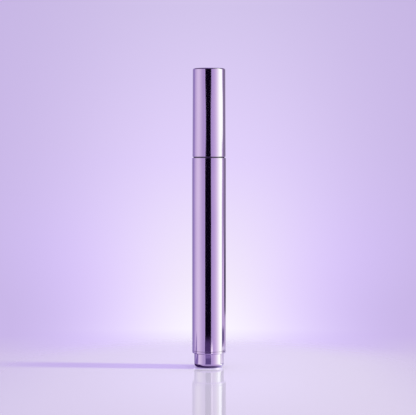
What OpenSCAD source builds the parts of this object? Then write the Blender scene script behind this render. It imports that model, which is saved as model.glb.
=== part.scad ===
// Click-action cuticle oil pen, standing capped on its push button.
// Millimetres. +Z runs from the button to the cap, and the origin is the
// middle of the face that the pen stands on.

/* [Whole pen] */
// Height of the capped pen
total_h = 133; // [110:0.5:158]
// Outside diameter of the barrel
barrel_d = 15; // [12.5:0.1:18]
// Wall of the drawn aluminium shells
shell_wall = 0.35; // [0.3:0.01:0.45]

/* [Cap] */
// Height of the cap
cap_h = 39.2; // [32.5:0.1:47]
// Open line between the cap and the barrel
cap_gap = 0.5; // [0.4:0.05:0.8]
// Step in from the barrel's radius to the cap's mouth
cap_step = 0.15; // [0.1:0.01:0.25]
// Taper of the cap's radius from mouth to top
cap_draft = 0.15; // [0.05:0.01:0.25]
// Thickness of the cap's closed top
cap_top_wall = 0.5; // [0.35:0.05:0.8]
// Rounding of the cap's top edge
cap_edge = 0.7; // [0.5:0.05:0.9]
// Wall of the liner's mouth skirt
liner_wall = 0.55; // [0.45:0.01:0.65]
// Wall of the liner's inner tube
liner_tube_wall = 0.7; // [0.6:0.05:0.85]
// Thickness of the liner's floor and web
liner_floor = 0.9; // [0.7:0.05:1.2]
// Number of ribs between the liner's tube and skirt
liner_ribs = 6; // [4:1:8]
// Thickness of the liner's ribs
liner_rib_w = 0.8; // [0.6:0.05:1]
// Thickness of the soft sealing ring
seal_h = 0.8; // [0.6:0.05:1]
// Width of the soft sealing ring from its bore to its rim
seal_w = 1; // [0.85:0.05:1.1]

/* [Applicator] */
// Length of the neck that carries the cap
neck_h = 7.7; // [6.5:0.1:9.2]
// Wall of the neck
neck_wall = 1.5; // [1.2:0.05:1.8]
// Height of the snap beads on the neck and in the liner
snap_bead = 0.14; // [0.1:0.01:0.17]
// Depth of the neck's plug in the reservoir
plug_h = 6; // [5:0.1:7.2]
// Wall of the neck's plug
plug_wall = 1.3; // [1.1:0.05:1.6]
// Cord of the sealing ring on the plug
o_ring_cord = 0.9; // [0.7:0.05:1.05]
// Length of the nozzle's cone
nozzle_h = 9.7; // [8:0.1:11.6]
// Diameter of the nozzle's cone at its flange
nozzle_base_d = 8; // [6.6:0.1:9.4]
// Wall of the nozzle round the ferrule at its tip
nozzle_tip_wall = 0.45; // [0.35:0.01:0.55]
// Thickness of the nozzle's flange
nozzle_flange_h = 0.8; // [0.6:0.05:1]
// Diameter of the brush's crimped ferrule
ferrule_d = 3.7; // [3.1:0.1:4.4]
// Wall of the ferrule
ferrule_wall = 0.22; // [0.18:0.01:0.26]
// Length of ferrule that shows past the nozzle
ferrule_show = 1.5; // [1.2:0.1:1.8]
// Length of ferrule held in the nozzle
ferrule_grip = 7.6; // [6:0.1:8]
// Length of hair past the ferrule
brush_show = 10.5; // [8:0.1:12.5]
// Widest diameter of the hair
brush_d = 3.9; // [3.4:0.1:4.5]
// Outside diameter of the feed pipe
pipe_d = 1.5; // [1.2:0.05:1.7]
// Bore of the feed pipe
pipe_bore_d = 0.8; // [0.6:0.05:0.95]
// Reach of the feed pipe into the hair past the ferrule
pipe_reach = 2.2; // [1.5:0.1:3]
// Depth of the funnel that leads into the feed pipe
funnel_h = 2.4; // [1.9:0.1:3]

/* [Reservoir and feed] */
// Wall of the reservoir tube
reservoir_wall = 1.3; // [1.1:0.05:1.5]
// Length of the piston
piston_h = 8; // [7:0.1:9.5]
// Thickness of the piston's walls and lips
piston_wall = 0.8; // [0.65:0.05:0.95]
// Height of the fixed nut
nut_h = 4; // [3.4:0.1:4.8]
// Flange of the nut under the reservoir
nut_flange_h = 1.5; // [1.2:0.1:1.8]
// Crest diameter of the feed screw
screw_d = 4.4; // [3.7:0.1:5.2]
// Advance of the feed screw in one turn
screw_lead = 2; // [1.7:0.1:2.4]
// Depth of the screw's thread
thread_depth = 0.5; // [0.4:0.05:0.6]
// Width of the screw across its two flats
screw_flats = 3.2; // [2.7:0.1:3.8]
// Length of screw still keyed when the piston is at its end
key_grip = 1.8; // [1.5:0.1:2.1]
// Height of the keyed bore in the drive sleeve
key_h = 3; // [2.6:0.1:3.6]
// Wall of the drive sleeve
sleeve_wall = 0.75; // [0.6:0.05:0.9]
// Length of the drive sleeve inside the push cam's tube
sleeve_tail = 1; // [0.8:0.1:1.2]

/* [Click ratchet] */
// Number of ratchet teeth
tooth_count = 12; // [8:1:16]
// Height of the ratchet teeth
tooth_h = 1; // [0.8:0.05:1.2]
// Wall of the ratchet housing round the cam chamber
housing_wall = 0.8; // [0.65:0.05:0.95]
// Length of the bush that guides the push cam
guide_h = 8.6; // [7.3:0.1:10.3]
// Number of keys that stop the push cam turning
guide_keys = 3; // [2:1:4]
// Width of those keys
guide_key_w = 1.6; // [1.3:0.1:1.9]
// Height of those keys
guide_key_h = 4; // [3.4:0.1:4.4]
// Wall of the push cam's tube
push_wall = 0.85; // [0.7:0.05:1]
// Height of the ratchet cam's disc
cam_disc_h = 3.2; // [2.8:0.1:3.8]
// Height of the ratchet cam's hub past its disc
cam_hub_h = 3; // [2.5:0.1:3.6]
// Wall of the hub outside its spline slots
cam_hub_wall = 0.45; // [0.35:0.05:0.55]
// Number of splines between the drive sleeve and the ratchet cam
spline_count = 4; // [3:1:6]
// Width of the splines
spline_w = 1; // [0.8:0.05:1.2]
// Height of the splines
spline_rise = 0.6; // [0.5:0.05:0.7]
// Wire of the return spring
spring_wire = 0.55; // [0.45:0.05:0.65]
// Least pitch of the return spring's open turns
spring_pitch = 2.2; // [1.8:0.1:2.7]
// Thickness of the drive sleeve's flange
sleeve_flange_h = 1.2; // [1:0.1:1.5]

/* [Push button] */
// Height of the button below the barrel
button_show = 6.3; // [5.4:0.1:7.5]
// Length of the button inside the barrel at rest
button_bury = 2.5; // [2:0.1:3]
// Travel of one click
button_travel = 2.2; // [1.8:0.1:2.6]
// Rounding of the button's lower edge
button_round = 1.9; // [1.5:0.1:2.3]
// Face width of the tail ring round the button
tail_lip = 0.8; // [0.7:0.05:0.95]
// Height of the tail ring that shows
tail_band_h = 1.15; // [0.95:0.05:1.4]
// Rounding of the tail ring's lower edge
tail_edge = 0.5; // [0.4:0.05:0.6]
// Wall of the push cam's skirt inside the button
skirt_wall = 0.9; // [0.7:0.05:1.1]

/* [Hidden] */

// Facets of a full circle, and of the small round shapes inside
$fn = 96;
coarse = 32;

// Clearance round fixed pieces, round moving pieces, and between end faces
slip = 0.05;
run = 0.1;
face_gap = 0.05;
// Overrun of every cut past the face that it leaves
overrun = 1;
// Bevel that breaks a moulded edge, and the hairline bevel of a shell's seam
bevel = 0.3;
seam_bevel = 0.08;
// Web that a funnel or pocket leaves beside it
web = 0.8;
// Sink of a piece of detail into the body that it grows from
root_sink = 0.2;

// Radii of the shells and of what they hold
barrel_r = barrel_d / 2;
barrel_bore_r = barrel_r - shell_wall;
inner_r = barrel_bore_r - slip;
tail_bore_r = barrel_r - tail_lip;
button_r = tail_bore_r - run;
reservoir_r = inner_r - reservoir_wall;
cap_mouth_r = barrel_r - cap_step;
cap_top_r = cap_mouth_r - cap_draft;
cap_inner_edge = cap_edge - shell_wall;

// Heights of the button, the tail ring and the barrel
button_top_z = button_show + button_bury;
seam_z = button_show + tail_band_h;
barrel_top_z = total_h - cap_h - cap_gap;
cap_z = barrel_top_z + cap_gap;

// The push cam in the button, and the bush that it slides in
skirt_r = button_r - shell_wall - slip;
push_z = shell_wall + slip;
push_floor_h = 1.2;
push_floor_z = push_z + push_floor_h;
skirt_top_z = button_top_z - bevel;
housing_z = max(button_top_z + button_travel, seam_z) + 2 * run;
ledge_z = housing_z + guide_h;
chamber_r = inner_r - housing_wall;
screw_r = screw_d / 2;
sleeve_bore_r = screw_r + 2 * run;
sleeve_r = sleeve_bore_r + sleeve_wall;
push_bore_r = sleeve_r + 2 * run;
push_r = push_bore_r + push_wall;
bush_r = push_r + run;
key_r = push_r + (inner_r - push_r) / 3;
key_stop_h = 1;
key_z = housing_z + key_stop_h + face_gap;

// Ratchet teeth: inset of the tooth rings in their zones, ramp facets and flank
tooth_inset = 0.05;
ramp_facets = 3;
ramp_share = 0.93;
tips_z = ledge_z + tooth_h;
cam_z = tips_z + run + tooth_h;
cam_r = chamber_r - 2 * run;

// The drive sleeve, its splines and the spring round the cam's hub
sleeve_z = ledge_z - sleeve_tail;
spline_z = tips_z + button_travel + 2 * run;
spline_r = sleeve_r + spline_rise;
hub_bore_r = sleeve_r + run;
spline_slot_r = spline_r + run;
hub_r = spline_slot_r + cam_hub_wall;
spring_r = (hub_r + chamber_r) / 2;
spring_sides = 8;
spring_steps = 16;
spring_end_gap = 0.45;
spring_seat_z = cam_z + cam_disc_h;

// The feed: screw and piston share one stroke. It is half of what the barrel
// leaves, or less where the cam, its hub and the pressed button need the room.
end_gap = 0.4;
piston_gap = 0.5;
plug_z = barrel_top_z - plug_h;
screw_rear_z = push_floor_z + button_travel + end_gap + 3 * run;
piston_end_z = plug_z - end_gap - piston_h;
even_stroke = (piston_end_z - piston_gap - nut_h - run - key_grip - screw_rear_z) / 2;
cam_top_z = spring_seat_z + cam_hub_h + button_travel;
most_stroke = piston_end_z - piston_gap - nut_h - 2 * run - sleeve_flange_h - cam_top_z;
stroke = min(even_stroke, most_stroke);
piston_z = piston_end_z - stroke;
nut_z = piston_z - piston_gap - nut_h;
nut_top_z = nut_z + nut_h;
nut_flange_z = nut_z + nut_flange_h;
sleeve_top_z = nut_z - run;
flange_z = sleeve_top_z - sleeve_flange_h;

// Thread of the feed screw: steps in a turn, and shares of the pitch that its
// crest and each of its flanks take
thread_steps = 18;
thread_crest_share = 0.2;
thread_flank_share = 0.22;
screw_neck_r = screw_r / 2;
screw_head_r = screw_r - thread_depth;
head_h = 2;
head_clear = 0.2;
screw_shaft_top_z = nut_top_z + head_clear;
head_z = piston_z + piston_wall + 2 * run;

// The neck, nozzle and brush
neck_z = cap_z;
liner_mouth_r = cap_mouth_r - shell_wall - slip;
liner_mouth_bore_r = liner_mouth_r - liner_wall;
neck_r = liner_mouth_bore_r - snap_bead - run;
neck_bore_r = neck_r - neck_wall;
neck_top_z = neck_z + neck_h;
neck_flange_r = barrel_bore_r - 2 * run;
plug_r = reservoir_r - slip;
plug_bore_r = plug_r - plug_wall;
bead_z = neck_z + neck_h / 2;
bead_run = 1.2;
nozzle_r = nozzle_base_d / 2;
nozzle_cone_z = neck_top_z + nozzle_flange_h;
nozzle_tip_z = nozzle_cone_z + nozzle_h;
nozzle_tail_h = neck_h * 3 / 4;
nozzle_tail_r = neck_bore_r - slip;
nozzle_flange_r = neck_r - bevel;
ferrule_r = ferrule_d / 2;
ferrule_bore_r = ferrule_r - ferrule_wall;
nozzle_tip_r = ferrule_r + slip + nozzle_tip_wall;
ferrule_z = nozzle_tip_z - ferrule_grip;
ferrule_top_z = nozzle_tip_z + ferrule_show;
pipe_r = pipe_d / 2;
pipe_z = neck_top_z - nozzle_tail_h + funnel_h;
pipe_top_z = ferrule_top_z + pipe_reach;
hair_r = ferrule_bore_r - slip;
hair_z = ferrule_z + ferrule_wall + slip;
hair_points = 30;
hair_ripple_share = 0.07;

// The cap's liner: skirt below the web, tube and ribs above it
liner_z = cap_z + face_gap;
liner_top_z = total_h - cap_top_wall - slip;
seal_z = nozzle_cone_z + face_gap;
web_z = seal_z + seal_h;
liner_tube_bore_r = nozzle_r + 4 * run;
liner_tube_r = liner_tube_bore_r + liner_tube_wall;
seal_r = liner_mouth_bore_r - slip;
seal_bore_r = seal_r - seal_w;

// A round tube from z = 0
module tube(r, bore, h) {
    difference() {
        cylinder(r = r, h = h);
        translate([0, 0, -overrun]) cylinder(r = bore, h = h + 2 * overrun);
    }
}

// Half outline of a round block with its lower outer edge rounded
module rounded_half(r, h, edge) {
    square([r - edge, h]);
    translate([0, edge]) square([r, h - edge]);
    translate([r - edge, edge]) intersection() {
        circle(r = edge);
        translate([0, -edge]) square(edge);
    }
}

// Half outline of a tapered round block with its upper outer edge rounded and a
// bevel on its lower one
module rounded_top_half(r, top_r, h, edge, low) {
    polygon([
        [0, 0], [r - low, 0], [r, low],
        [top_r, h - edge], [top_r - edge, h], [0, h]
    ]);
    translate([top_r - edge, h - edge]) intersection() {
        circle(r = edge);
        square(edge);
    }
}

// Half outline of a plain ring with a bevel on its lower and upper outer edges
module bevelled_half(r, bore, h, low, high) {
    polygon([
        [bore, 0], [r - low, 0], [r, low],
        [r, h - high], [r - high, h], [bore, h]
    ]);
}

// Half outline of a bead on a wall of radius r, centred on z = 0; a rise below
// zero makes it stand inwards, and sink is its depth in the wall
module bead_half(r, rise, sink, width) {
    polygon([
        [r - sink, -width / 2], [r, -width / 2], [r + rise, -width / 8],
        [r + rise, width / 8], [r, width / 2], [r - sink, width / 2]
    ]);
}

// Ring of ratchet teeth that face +Z: each ramp climbs by h over its share of
// the pitch and drops back over the rest
module ratchet_teeth(bore, r, h, sink) {
    pitch = 360 / tooth_count;
    sections = ramp_facets + 1;
    count = tooth_count * sections;
    function angle(i) = pitch * (floor(i / sections)
        + (i % sections) / ramp_facets * ramp_share);
    function height(i) = h * (i % sections) / ramp_facets;
    function section(i) = [
        for (p = [[bore, -sink], [r, -sink], [r, height(i)], [bore, height(i)]])
            [p[0] * cos(angle(i)), p[0] * sin(angle(i)), p[1]]
    ];
    function wrap(i, k) = (i % count) * 4 + k % 4;
    polyhedron(
        points = [for (i = [0:count - 1]) each section(i)],
        faces = [
            for (i = [0:count - 1], k = [0:3]) each [
                [wrap(i, k), wrap(i, k + 1), wrap(i + 1, k)],
                [wrap(i, k + 1), wrap(i + 1, k + 1), wrap(i + 1, k)]
            ]
        ]
    );
}

// Core with a right-hand thread round it, from below z = 0 to above h: each
// turn of the strip is a root, a flank up, a crest and a flank down
module thread_body(r, depth, lead, h) {
    steps = thread_steps * (ceil(h / lead) + 2);
    crest_share = thread_flank_share + thread_crest_share;
    profile = [
        [r - depth, 0],
        [r, thread_flank_share],
        [r, crest_share],
        [r - depth, crest_share + thread_flank_share]
    ];
    function z(i, share) = lead * (i / thread_steps + share - 1);
    function at(i, k) = let (a = 360 * i / thread_steps, p = profile[k])
        [p[0] * cos(a), p[0] * sin(a), z(i, p[1])];
    function id(i, k) = k < 4 ? 4 * i + k : 4 * (i + thread_steps);
    function fan(tip, loop) = [
        for (i = [0:len(loop) - 1]) [tip, loop[i], loop[(i + 1) % len(loop)]]
    ];
    low_tip = 4 * (steps + 1);
    polyhedron(
        points = concat(
            [for (i = [0:steps], k = [0:3]) at(i, k)],
            [[0, 0, z(0, 0)], [0, 0, z(steps, profile[3][1])]]
        ),
        faces = concat(
            [for (i = [0:steps - 1], k = [0:3])
                if (k < 3 || i + thread_steps < steps) each [
                    [id(i, k), id(i, k + 1), id(i + 1, k + 1)],
                    [id(i, k), id(i + 1, k + 1), id(i + 1, k)]
                ]
            ],
            fan(low_tip, concat(
                [for (i = [0:thread_steps]) id(i, 0)], [for (k = [3:-1:1]) id(0, k)]
            )),
            fan(low_tip + 1, concat(
                [for (k = [0:3]) id(steps, k)],
                [for (i = [1:thread_steps]) id(steps - i, 3)]
            ))
        )
    );
}

// Compression spring between z = 0 and h: a close turn at each end and open
// turns of at least the pitch between, as one wire
module coil_spring(r, wire, pitch, h) {
    close_pitch = wire + spring_end_gap;
    rise = h - wire - 2 * close_pitch;
    turns = 2 + max(1, floor(rise / pitch));
    steps = turns * spring_steps;
    function height(t) = wire / 2 + (t < 1 ? close_pitch * t
        : t > turns - 1 ? close_pitch + rise + close_pitch * (t - turns + 1)
        : close_pitch + rise * (t - 1) / (turns - 2));
    function at(i, j) = let (
        t = i / spring_steps,
        a = 360 * t,
        b = 360 * j / spring_sides,
        p = r + wire / 2 * cos(b)
    ) [p * cos(a), p * sin(a), height(t) + wire / 2 * sin(b)];
    function index(i, j) = i * spring_sides + j % spring_sides;
    polyhedron(
        points = [
            for (i = [0:steps], j = [0:spring_sides - 1]) at(i, j)
        ],
        faces = concat(
            [[for (j = [spring_sides - 1:-1:0]) j]],
            [for (i = [0:steps - 1], j = [0:spring_sides - 1]) each [
                [index(i, j), index(i, j + 1), index(i + 1, j)],
                [index(i, j + 1), index(i + 1, j + 1), index(i + 1, j)]
            ]],
            [[for (j = [0:spring_sides - 1]) index(steps, j)]]
        )
    );
}

// Drawn outer shell of the cap, closed at the top
module cap_shell() {
    color("#b9a2d6") translate([0, 0, cap_z]) difference() {
        rotate_extrude()
            rounded_top_half(cap_mouth_r, cap_top_r, cap_h, cap_edge, seam_bevel);
        translate([0, 0, -overrun]) rotate_extrude() rounded_top_half(
            cap_mouth_r - shell_wall, cap_top_r - shell_wall,
            cap_h - cap_top_wall + overrun, cap_inner_edge, 0
        );
    }
}

// Moulded liner: mouth skirt, web, inner tube over the nozzle, and ribs
module cap_liner() {
    h = liner_top_z - liner_z;
    web_h = web_z - liner_z;
    pocket_h = h - web_h - liner_floor;
    taper = cap_draft * h / cap_h;
    color("#ece8f2") translate([0, 0, liner_z]) {
        difference() {
            rotate_extrude() polygon([
                [0, 0], [liner_mouth_r, 0], [liner_mouth_r - taper, h - cap_inner_edge],
                [liner_mouth_r - taper - cap_inner_edge, h], [0, h]
            ]);
            translate([0, 0, -overrun])
                cylinder(r = liner_mouth_bore_r, h = web_h + overrun);
            translate([0, 0, -overrun])
                cylinder(r = liner_tube_bore_r, h = h - liner_floor + overrun);
            translate([0, 0, web_h + liner_floor]) difference() {
                cylinder(r = liner_mouth_bore_r - bevel, h = pocket_h + overrun);
                translate([0, 0, -overrun]) {
                    cylinder(r = liner_tube_r, h = pocket_h + 3 * overrun);
                    for (k = [0:liner_ribs - 1]) rotate([0, 0, 360 * k / liner_ribs])
                        translate([0, -liner_rib_w / 2, 0])
                            cube([barrel_r, liner_rib_w, pocket_h + 3 * overrun]);
                }
            }
        }
        translate([0, 0, bead_z - bead_run - liner_z]) rotate_extrude()
            bead_half(liner_mouth_bore_r, -snap_bead / 2, -root_sink, bead_run);
    }
}

// Soft washer under the liner's web that seals on the nozzle's flange
module cap_seal_ring() {
    color("#d9d2e6") translate([0, 0, seal_z]) rotate_extrude()
        bevelled_half(seal_r, seal_bore_r, seal_h - face_gap, bevel / 2, bevel / 2);
}

// Drawn aluminium tube of the barrel
module barrel_shell() {
    color("#b9a2d6") translate([0, 0, seam_z + face_gap]) rotate_extrude() bevelled_half(
        barrel_r, barrel_bore_r, barrel_top_z - seam_z - face_gap, seam_bevel, 2 * seam_bevel
    );
}

// Metal end ring with a rounded lower edge and a thin spigot in the barrel
module tail_ring() {
    color("#b9a2d6") translate([0, 0, button_show]) difference() {
        union() {
            rotate_extrude() difference() {
                rounded_half(barrel_r, tail_band_h, tail_edge);
                translate([barrel_r - seam_bevel, tail_band_h - seam_bevel]) rotate([0, 0, 45])
                    translate([0, -overrun]) square([overrun, 2 * overrun]);
            }
            cylinder(r = inner_r, h = housing_z - slip - button_show);
        }
        translate([0, 0, -overrun])
            cylinder(r = tail_bore_r, h = housing_z - button_show + 2 * overrun);
    }
}

// Clear tube that holds the oil, from the nut's flange to the neck
module reservoir_tube() {
    color("#efeaf7") translate([0, 0, nut_flange_z + slip]) rotate_extrude() bevelled_half(
        inner_r, reservoir_r, barrel_top_z - slip - nut_flange_z - slip, bevel, bevel
    );
}

// Neck that carries the cap: plug, flange in the open line, and snap bead
module neck_collar() {
    groove_z = plug_z + plug_h / 2;
    color("#3a2c48") difference() {
        union() {
            translate([0, 0, plug_z]) cylinder(r = plug_r, h = plug_h);
            translate([0, 0, barrel_top_z]) cylinder(r = neck_flange_r, h = cap_gap);
            translate([0, 0, neck_z]) rotate_extrude()
                bevelled_half(neck_r, neck_bore_r - root_sink, neck_h, 0, bevel);
            translate([0, 0, bead_z]) rotate_extrude() bead_half(neck_r, snap_bead, root_sink, bead_run);
        }
        translate([0, 0, plug_z - overrun]) cylinder(r = plug_bore_r, h = plug_h + overrun);
        translate([0, 0, barrel_top_z]) cylinder(
            r1 = plug_bore_r, r2 = min(neck_bore_r, plug_bore_r), h = cap_gap
        );
        translate([0, 0, neck_z - root_sink])
            cylinder(r = neck_bore_r, h = neck_h + root_sink + overrun);
        translate([0, 0, groove_z - o_ring_cord / 2 - face_gap])
            tube(plug_r + overrun, plug_r - o_ring_cord + slip, o_ring_cord + 2 * face_gap);
    }
}

// Sealing ring in the plug's groove
module neck_o_ring() {
    color("#5b4a70") translate([0, 0, plug_z + plug_h / 2]) rotate_extrude()
        translate([plug_r + slip - o_ring_cord / 2, 0])
            circle(r = o_ring_cord / 2 - slip / 2, $fn = coarse);
}

// Nozzle: tail in the neck, flange, and a cone that curves in to the brush
module nozzle() {
    tail_z = pipe_z - funnel_h;
    fall = nozzle_r - nozzle_tip_r;
    ogive_r = (nozzle_h * nozzle_h + fall * fall) / (2 * fall);
    color("#e3dcef") difference() {
        rotate_extrude() {
            polygon([
                [0, tail_z],
                [nozzle_tail_r - bevel, tail_z],
                [nozzle_tail_r, tail_z + bevel],
                [nozzle_tail_r, neck_top_z + face_gap],
                [nozzle_flange_r, neck_top_z + face_gap],
                [nozzle_flange_r, nozzle_cone_z - bevel / 2],
                [nozzle_flange_r - bevel / 2, nozzle_cone_z],
                [0, nozzle_cone_z]
            ]);
            translate([0, nozzle_cone_z]) intersection() {
                translate([nozzle_r - ogive_r, 0]) circle(r = ogive_r);
                translate([0, -root_sink]) square([nozzle_r, nozzle_h + root_sink]);
            }
        }
        translate([0, 0, ferrule_z - slip])
            cylinder(r = ferrule_r + slip, h = ferrule_grip + slip + overrun);
        translate([0, 0, tail_z - overrun])
            cylinder(r = pipe_r + slip, h = ferrule_z - tail_z + overrun);
        translate([0, 0, tail_z - overrun])
            cylinder(r = nozzle_tail_r - web, h = overrun + funnel_h / 4);
        translate([0, 0, tail_z + funnel_h / 4])
            cylinder(r1 = nozzle_tail_r - web, r2 = pipe_r + slip, h = funnel_h * 3 / 4);
    }
}

// Crimped metal ferrule that holds the hair
module brush_ferrule() {
    h = ferrule_top_z - ferrule_z;
    crimp = ferrule_wall / 2;
    color("#c9c4d2") translate([0, 0, ferrule_z]) rotate_extrude() polygon([
        [pipe_r + slip, 0], [ferrule_r - ferrule_wall, 0], [ferrule_r, ferrule_wall],
        [ferrule_r, h - ferrule_show * 3 / 4], [ferrule_r - crimp, h - ferrule_show / 2],
        [ferrule_r, h - ferrule_show / 4], [ferrule_r, h], [ferrule_bore_r, h],
        [ferrule_bore_r, ferrule_wall], [pipe_r + slip, ferrule_wall]
    ]);
}

// Steel capillary from the neck to the heart of the hair
module feed_pipe() {
    color("#c9c4d2") translate([0, 0, pipe_z]) tube(pipe_r, pipe_bore_d / 2, pipe_top_z - pipe_z);
}

// Bundle of hair: gathered in the ferrule, full past it, then drawn to a tip
module brush_hair() {
    // Shares of the shown length, and of the widest radius, from ferrule to tip
    length_shares = [0.02, 0.14, 0.3, 0.5, 0.68, 0.82, 0.92, 1];
    radius_shares = [0.7, 0.95, 1, 0.94, 0.78, 0.57, 0.36, 0.14];
    rows = len(length_shares);
    function ring(r, z, ripple) = [
        for (j = [0:hair_points - 1]) let (a = 360 * j / hair_points)
            let (p = r * (1 - ripple * (j % 2))) [p * cos(a), p * sin(a), z]
    ];
    rings = concat(
        [ring(hair_r, hair_z, 0), ring(hair_r, ferrule_top_z, 0)],
        [for (k = [0:rows - 1]) ring(
            max(brush_d / 2 * radius_shares[k], k == 0 ? hair_r : 0),
            ferrule_top_z + brush_show * length_shares[k], k == 0 ? 0 : hair_ripple_share
        )]
    );
    function index(i, j) = i * hair_points + j % hair_points;
    color("#f4f1f6") difference() {
        polyhedron(
            points = [for (r = rings) each r],
            faces = concat(
                [[for (j = [0:hair_points - 1]) j]],
                [for (i = [0:rows], j = [0:hair_points - 1]) each [
                    [index(i, j), index(i + 1, j), index(i, j + 1)],
                    [index(i, j + 1), index(i + 1, j), index(i + 1, j + 1)]
                ]],
                [[for (j = [hair_points - 1:-1:0]) index(rows + 1, j)]]
            )
        );
        translate([0, 0, hair_z - overrun])
            cylinder(r = pipe_r + slip, h = pipe_top_z + slip - hair_z + overrun);
    }
}

// Soft piston with a wiping lip at each end and a socket for the screw's head
module piston() {
    lip_r = reservoir_r - slip;
    waist_r = reservoir_r - piston_wall;
    cup_r = waist_r - piston_wall;
    crown_h = piston_wall * 2;
    socket_h = head_h + 4 * run;
    color("#ded6ea") translate([0, 0, piston_z]) difference() {
        rotate_extrude() polygon([
            [0, 0], [waist_r, 0], [lip_r, 0], [lip_r, piston_wall],
            [waist_r, 2 * piston_wall], [waist_r, piston_h - crown_h - 2 * piston_wall],
            [lip_r, piston_h - crown_h - piston_wall], [lip_r, piston_h - crown_h],
            [cup_r, piston_h], [0, piston_h]
        ]);
        translate([0, 0, -overrun])
            cylinder(r = screw_neck_r + 2 * run, h = piston_wall + 2 * overrun);
        translate([0, 0, piston_wall])
            cylinder(r = screw_head_r + run, h = socket_h);
        translate([0, 0, piston_wall + socket_h])
            cylinder(r1 = screw_head_r + run, r2 = screw_neck_r, h = piston_wall);
        difference() {
            translate([0, 0, -overrun]) cylinder(r = cup_r, h = piston_h / 2 + overrun);
            translate([0, 0, -2 * overrun])
                cylinder(r = screw_head_r + piston_wall, h = piston_h + 2 * overrun);
        }
    }
}

// Feed screw: threaded rod with two flats and a round head that snaps in the
// piston
module lead_screw() {
    h = screw_shaft_top_z - screw_rear_z;
    root_r = screw_r - thread_depth;
    color("#b7aec6") {
        translate([0, 0, screw_rear_z]) intersection() {
            thread_body(screw_r, thread_depth, screw_lead, h);
            rotate_extrude() polygon([
                [0, 0], [root_r, 0], [screw_r + thread_depth, 2 * thread_depth],
                [screw_r + thread_depth, h - 2 * thread_depth], [root_r, h], [0, h]
            ]);
            translate([-screw_flats / 2, -screw_d, -overrun])
                cube([screw_flats, 2 * screw_d, h + 2 * overrun]);
        }
        translate([0, 0, screw_shaft_top_z - root_sink])
            cylinder(r = screw_neck_r, h = head_z - screw_shaft_top_z + 2 * root_sink);
        translate([0, 0, head_z])
            cylinder(r1 = screw_head_r, r2 = screw_neck_r, h = head_h);
    }
}

// Fixed nut that carries the screw and closes the reservoir's rear end
module screw_nut() {
    turns_below = floor((nut_z - screw_rear_z) / screw_lead);
    color("#a99dbd") difference() {
        translate([0, 0, nut_z]) rotate_extrude() {
            bevelled_half(inner_r, 0, nut_flange_h, bevel, 0);
            translate([0, nut_flange_h - root_sink])
                bevelled_half(plug_r, 0, nut_h - nut_flange_h + root_sink, 0, bevel);
        }
        translate([0, 0, screw_rear_z + turns_below * screw_lead])
            thread_body(screw_r + run, thread_depth, screw_lead, nut_h + screw_lead);
    }
}

// Sleeve that turns the screw: keyed bore, spring flange and outside splines
module drive_sleeve() {
    color("#8f7fb0") difference() {
        union() {
            translate([0, 0, sleeve_z]) cylinder(r = sleeve_r, h = sleeve_top_z - sleeve_z);
            translate([0, 0, flange_z]) cylinder(r = cam_r, h = sleeve_flange_h);
            for (k = [0:spline_count - 1]) rotate([0, 0, 360 * k / spline_count])
                translate([0, -spline_w / 2, spline_z])
                    cube([spline_r, spline_w, flange_z - spline_z + root_sink]);
        }
        translate([0, 0, sleeve_z - overrun])
            cylinder(r = sleeve_bore_r, h = sleeve_top_z - key_h - sleeve_z + overrun);
        intersection() {
            translate([0, 0, sleeve_z])
                cylinder(r = sleeve_bore_r, h = sleeve_top_z - sleeve_z + overrun);
            translate([-screw_flats / 2 - run, -barrel_r, sleeve_z])
                cube([screw_flats + 2 * run, barrel_d, sleeve_top_z - sleeve_z + overrun]);
        }
    }
}

// Return spring between the ratchet cam and the drive sleeve's flange
module return_spring() {
    color("#9a96a3") translate([0, 0, spring_seat_z + face_gap])
        coil_spring(spring_r, spring_wire, spring_pitch, flange_z - spring_seat_z - 2 * face_gap);
}

// Ratchet cam: teeth that face the button, disc, and splined hub
module ratchet_cam() {
    color("#8f7fb0") difference() {
        union() {
            translate([0, 0, cam_z]) cylinder(r = cam_r, h = cam_disc_h);
            translate([0, 0, spring_seat_z - root_sink])
                cylinder(r = hub_r, h = cam_hub_h + root_sink);
            translate([0, 0, cam_z]) mirror([0, 0, 1]) ratchet_teeth(
                push_bore_r + tooth_inset, cam_r - tooth_inset, tooth_h, root_sink
            );
        }
        translate([0, 0, cam_z - tooth_h - overrun]) cylinder(
            r = hub_bore_r, h = tooth_h + cam_disc_h + cam_hub_h + 2 * overrun
        );
        for (k = [0:spline_count - 1]) rotate([0, 0, 360 * k / spline_count])
            translate([0, -spline_w / 2 - run, cam_z - tooth_h - overrun]) cube([
                spline_slot_r, spline_w + 2 * run, tooth_h + cam_disc_h + cam_hub_h + 2 * overrun
            ]);
    }
}

// Fixed housing: cam chamber, toothed ledge, and bush with slots for the keys
module ratchet_housing() {
    color("#a99dbd") difference() {
        union() {
            difference() {
                translate([0, 0, housing_z]) rotate_extrude()
                    bevelled_half(inner_r, 0, nut_z - slip - housing_z, bevel, 0);
                translate([0, 0, ledge_z])
                    cylinder(r = chamber_r, h = nut_z - ledge_z + overrun);
            }
            translate([0, 0, ledge_z]) ratchet_teeth(
                bush_r + tooth_inset, cam_r - tooth_inset, tooth_h, root_sink
            );
        }
        translate([0, 0, housing_z - overrun])
            cylinder(r = bush_r, h = guide_h + tooth_h + 2 * overrun);
        for (k = [0:guide_keys - 1]) rotate([0, 0, 360 * k / guide_keys])
            translate([0, -guide_key_w / 2 - run, housing_z + key_stop_h])
                cube([key_r + run, guide_key_w + 2 * run, guide_h]);
    }
}

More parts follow.
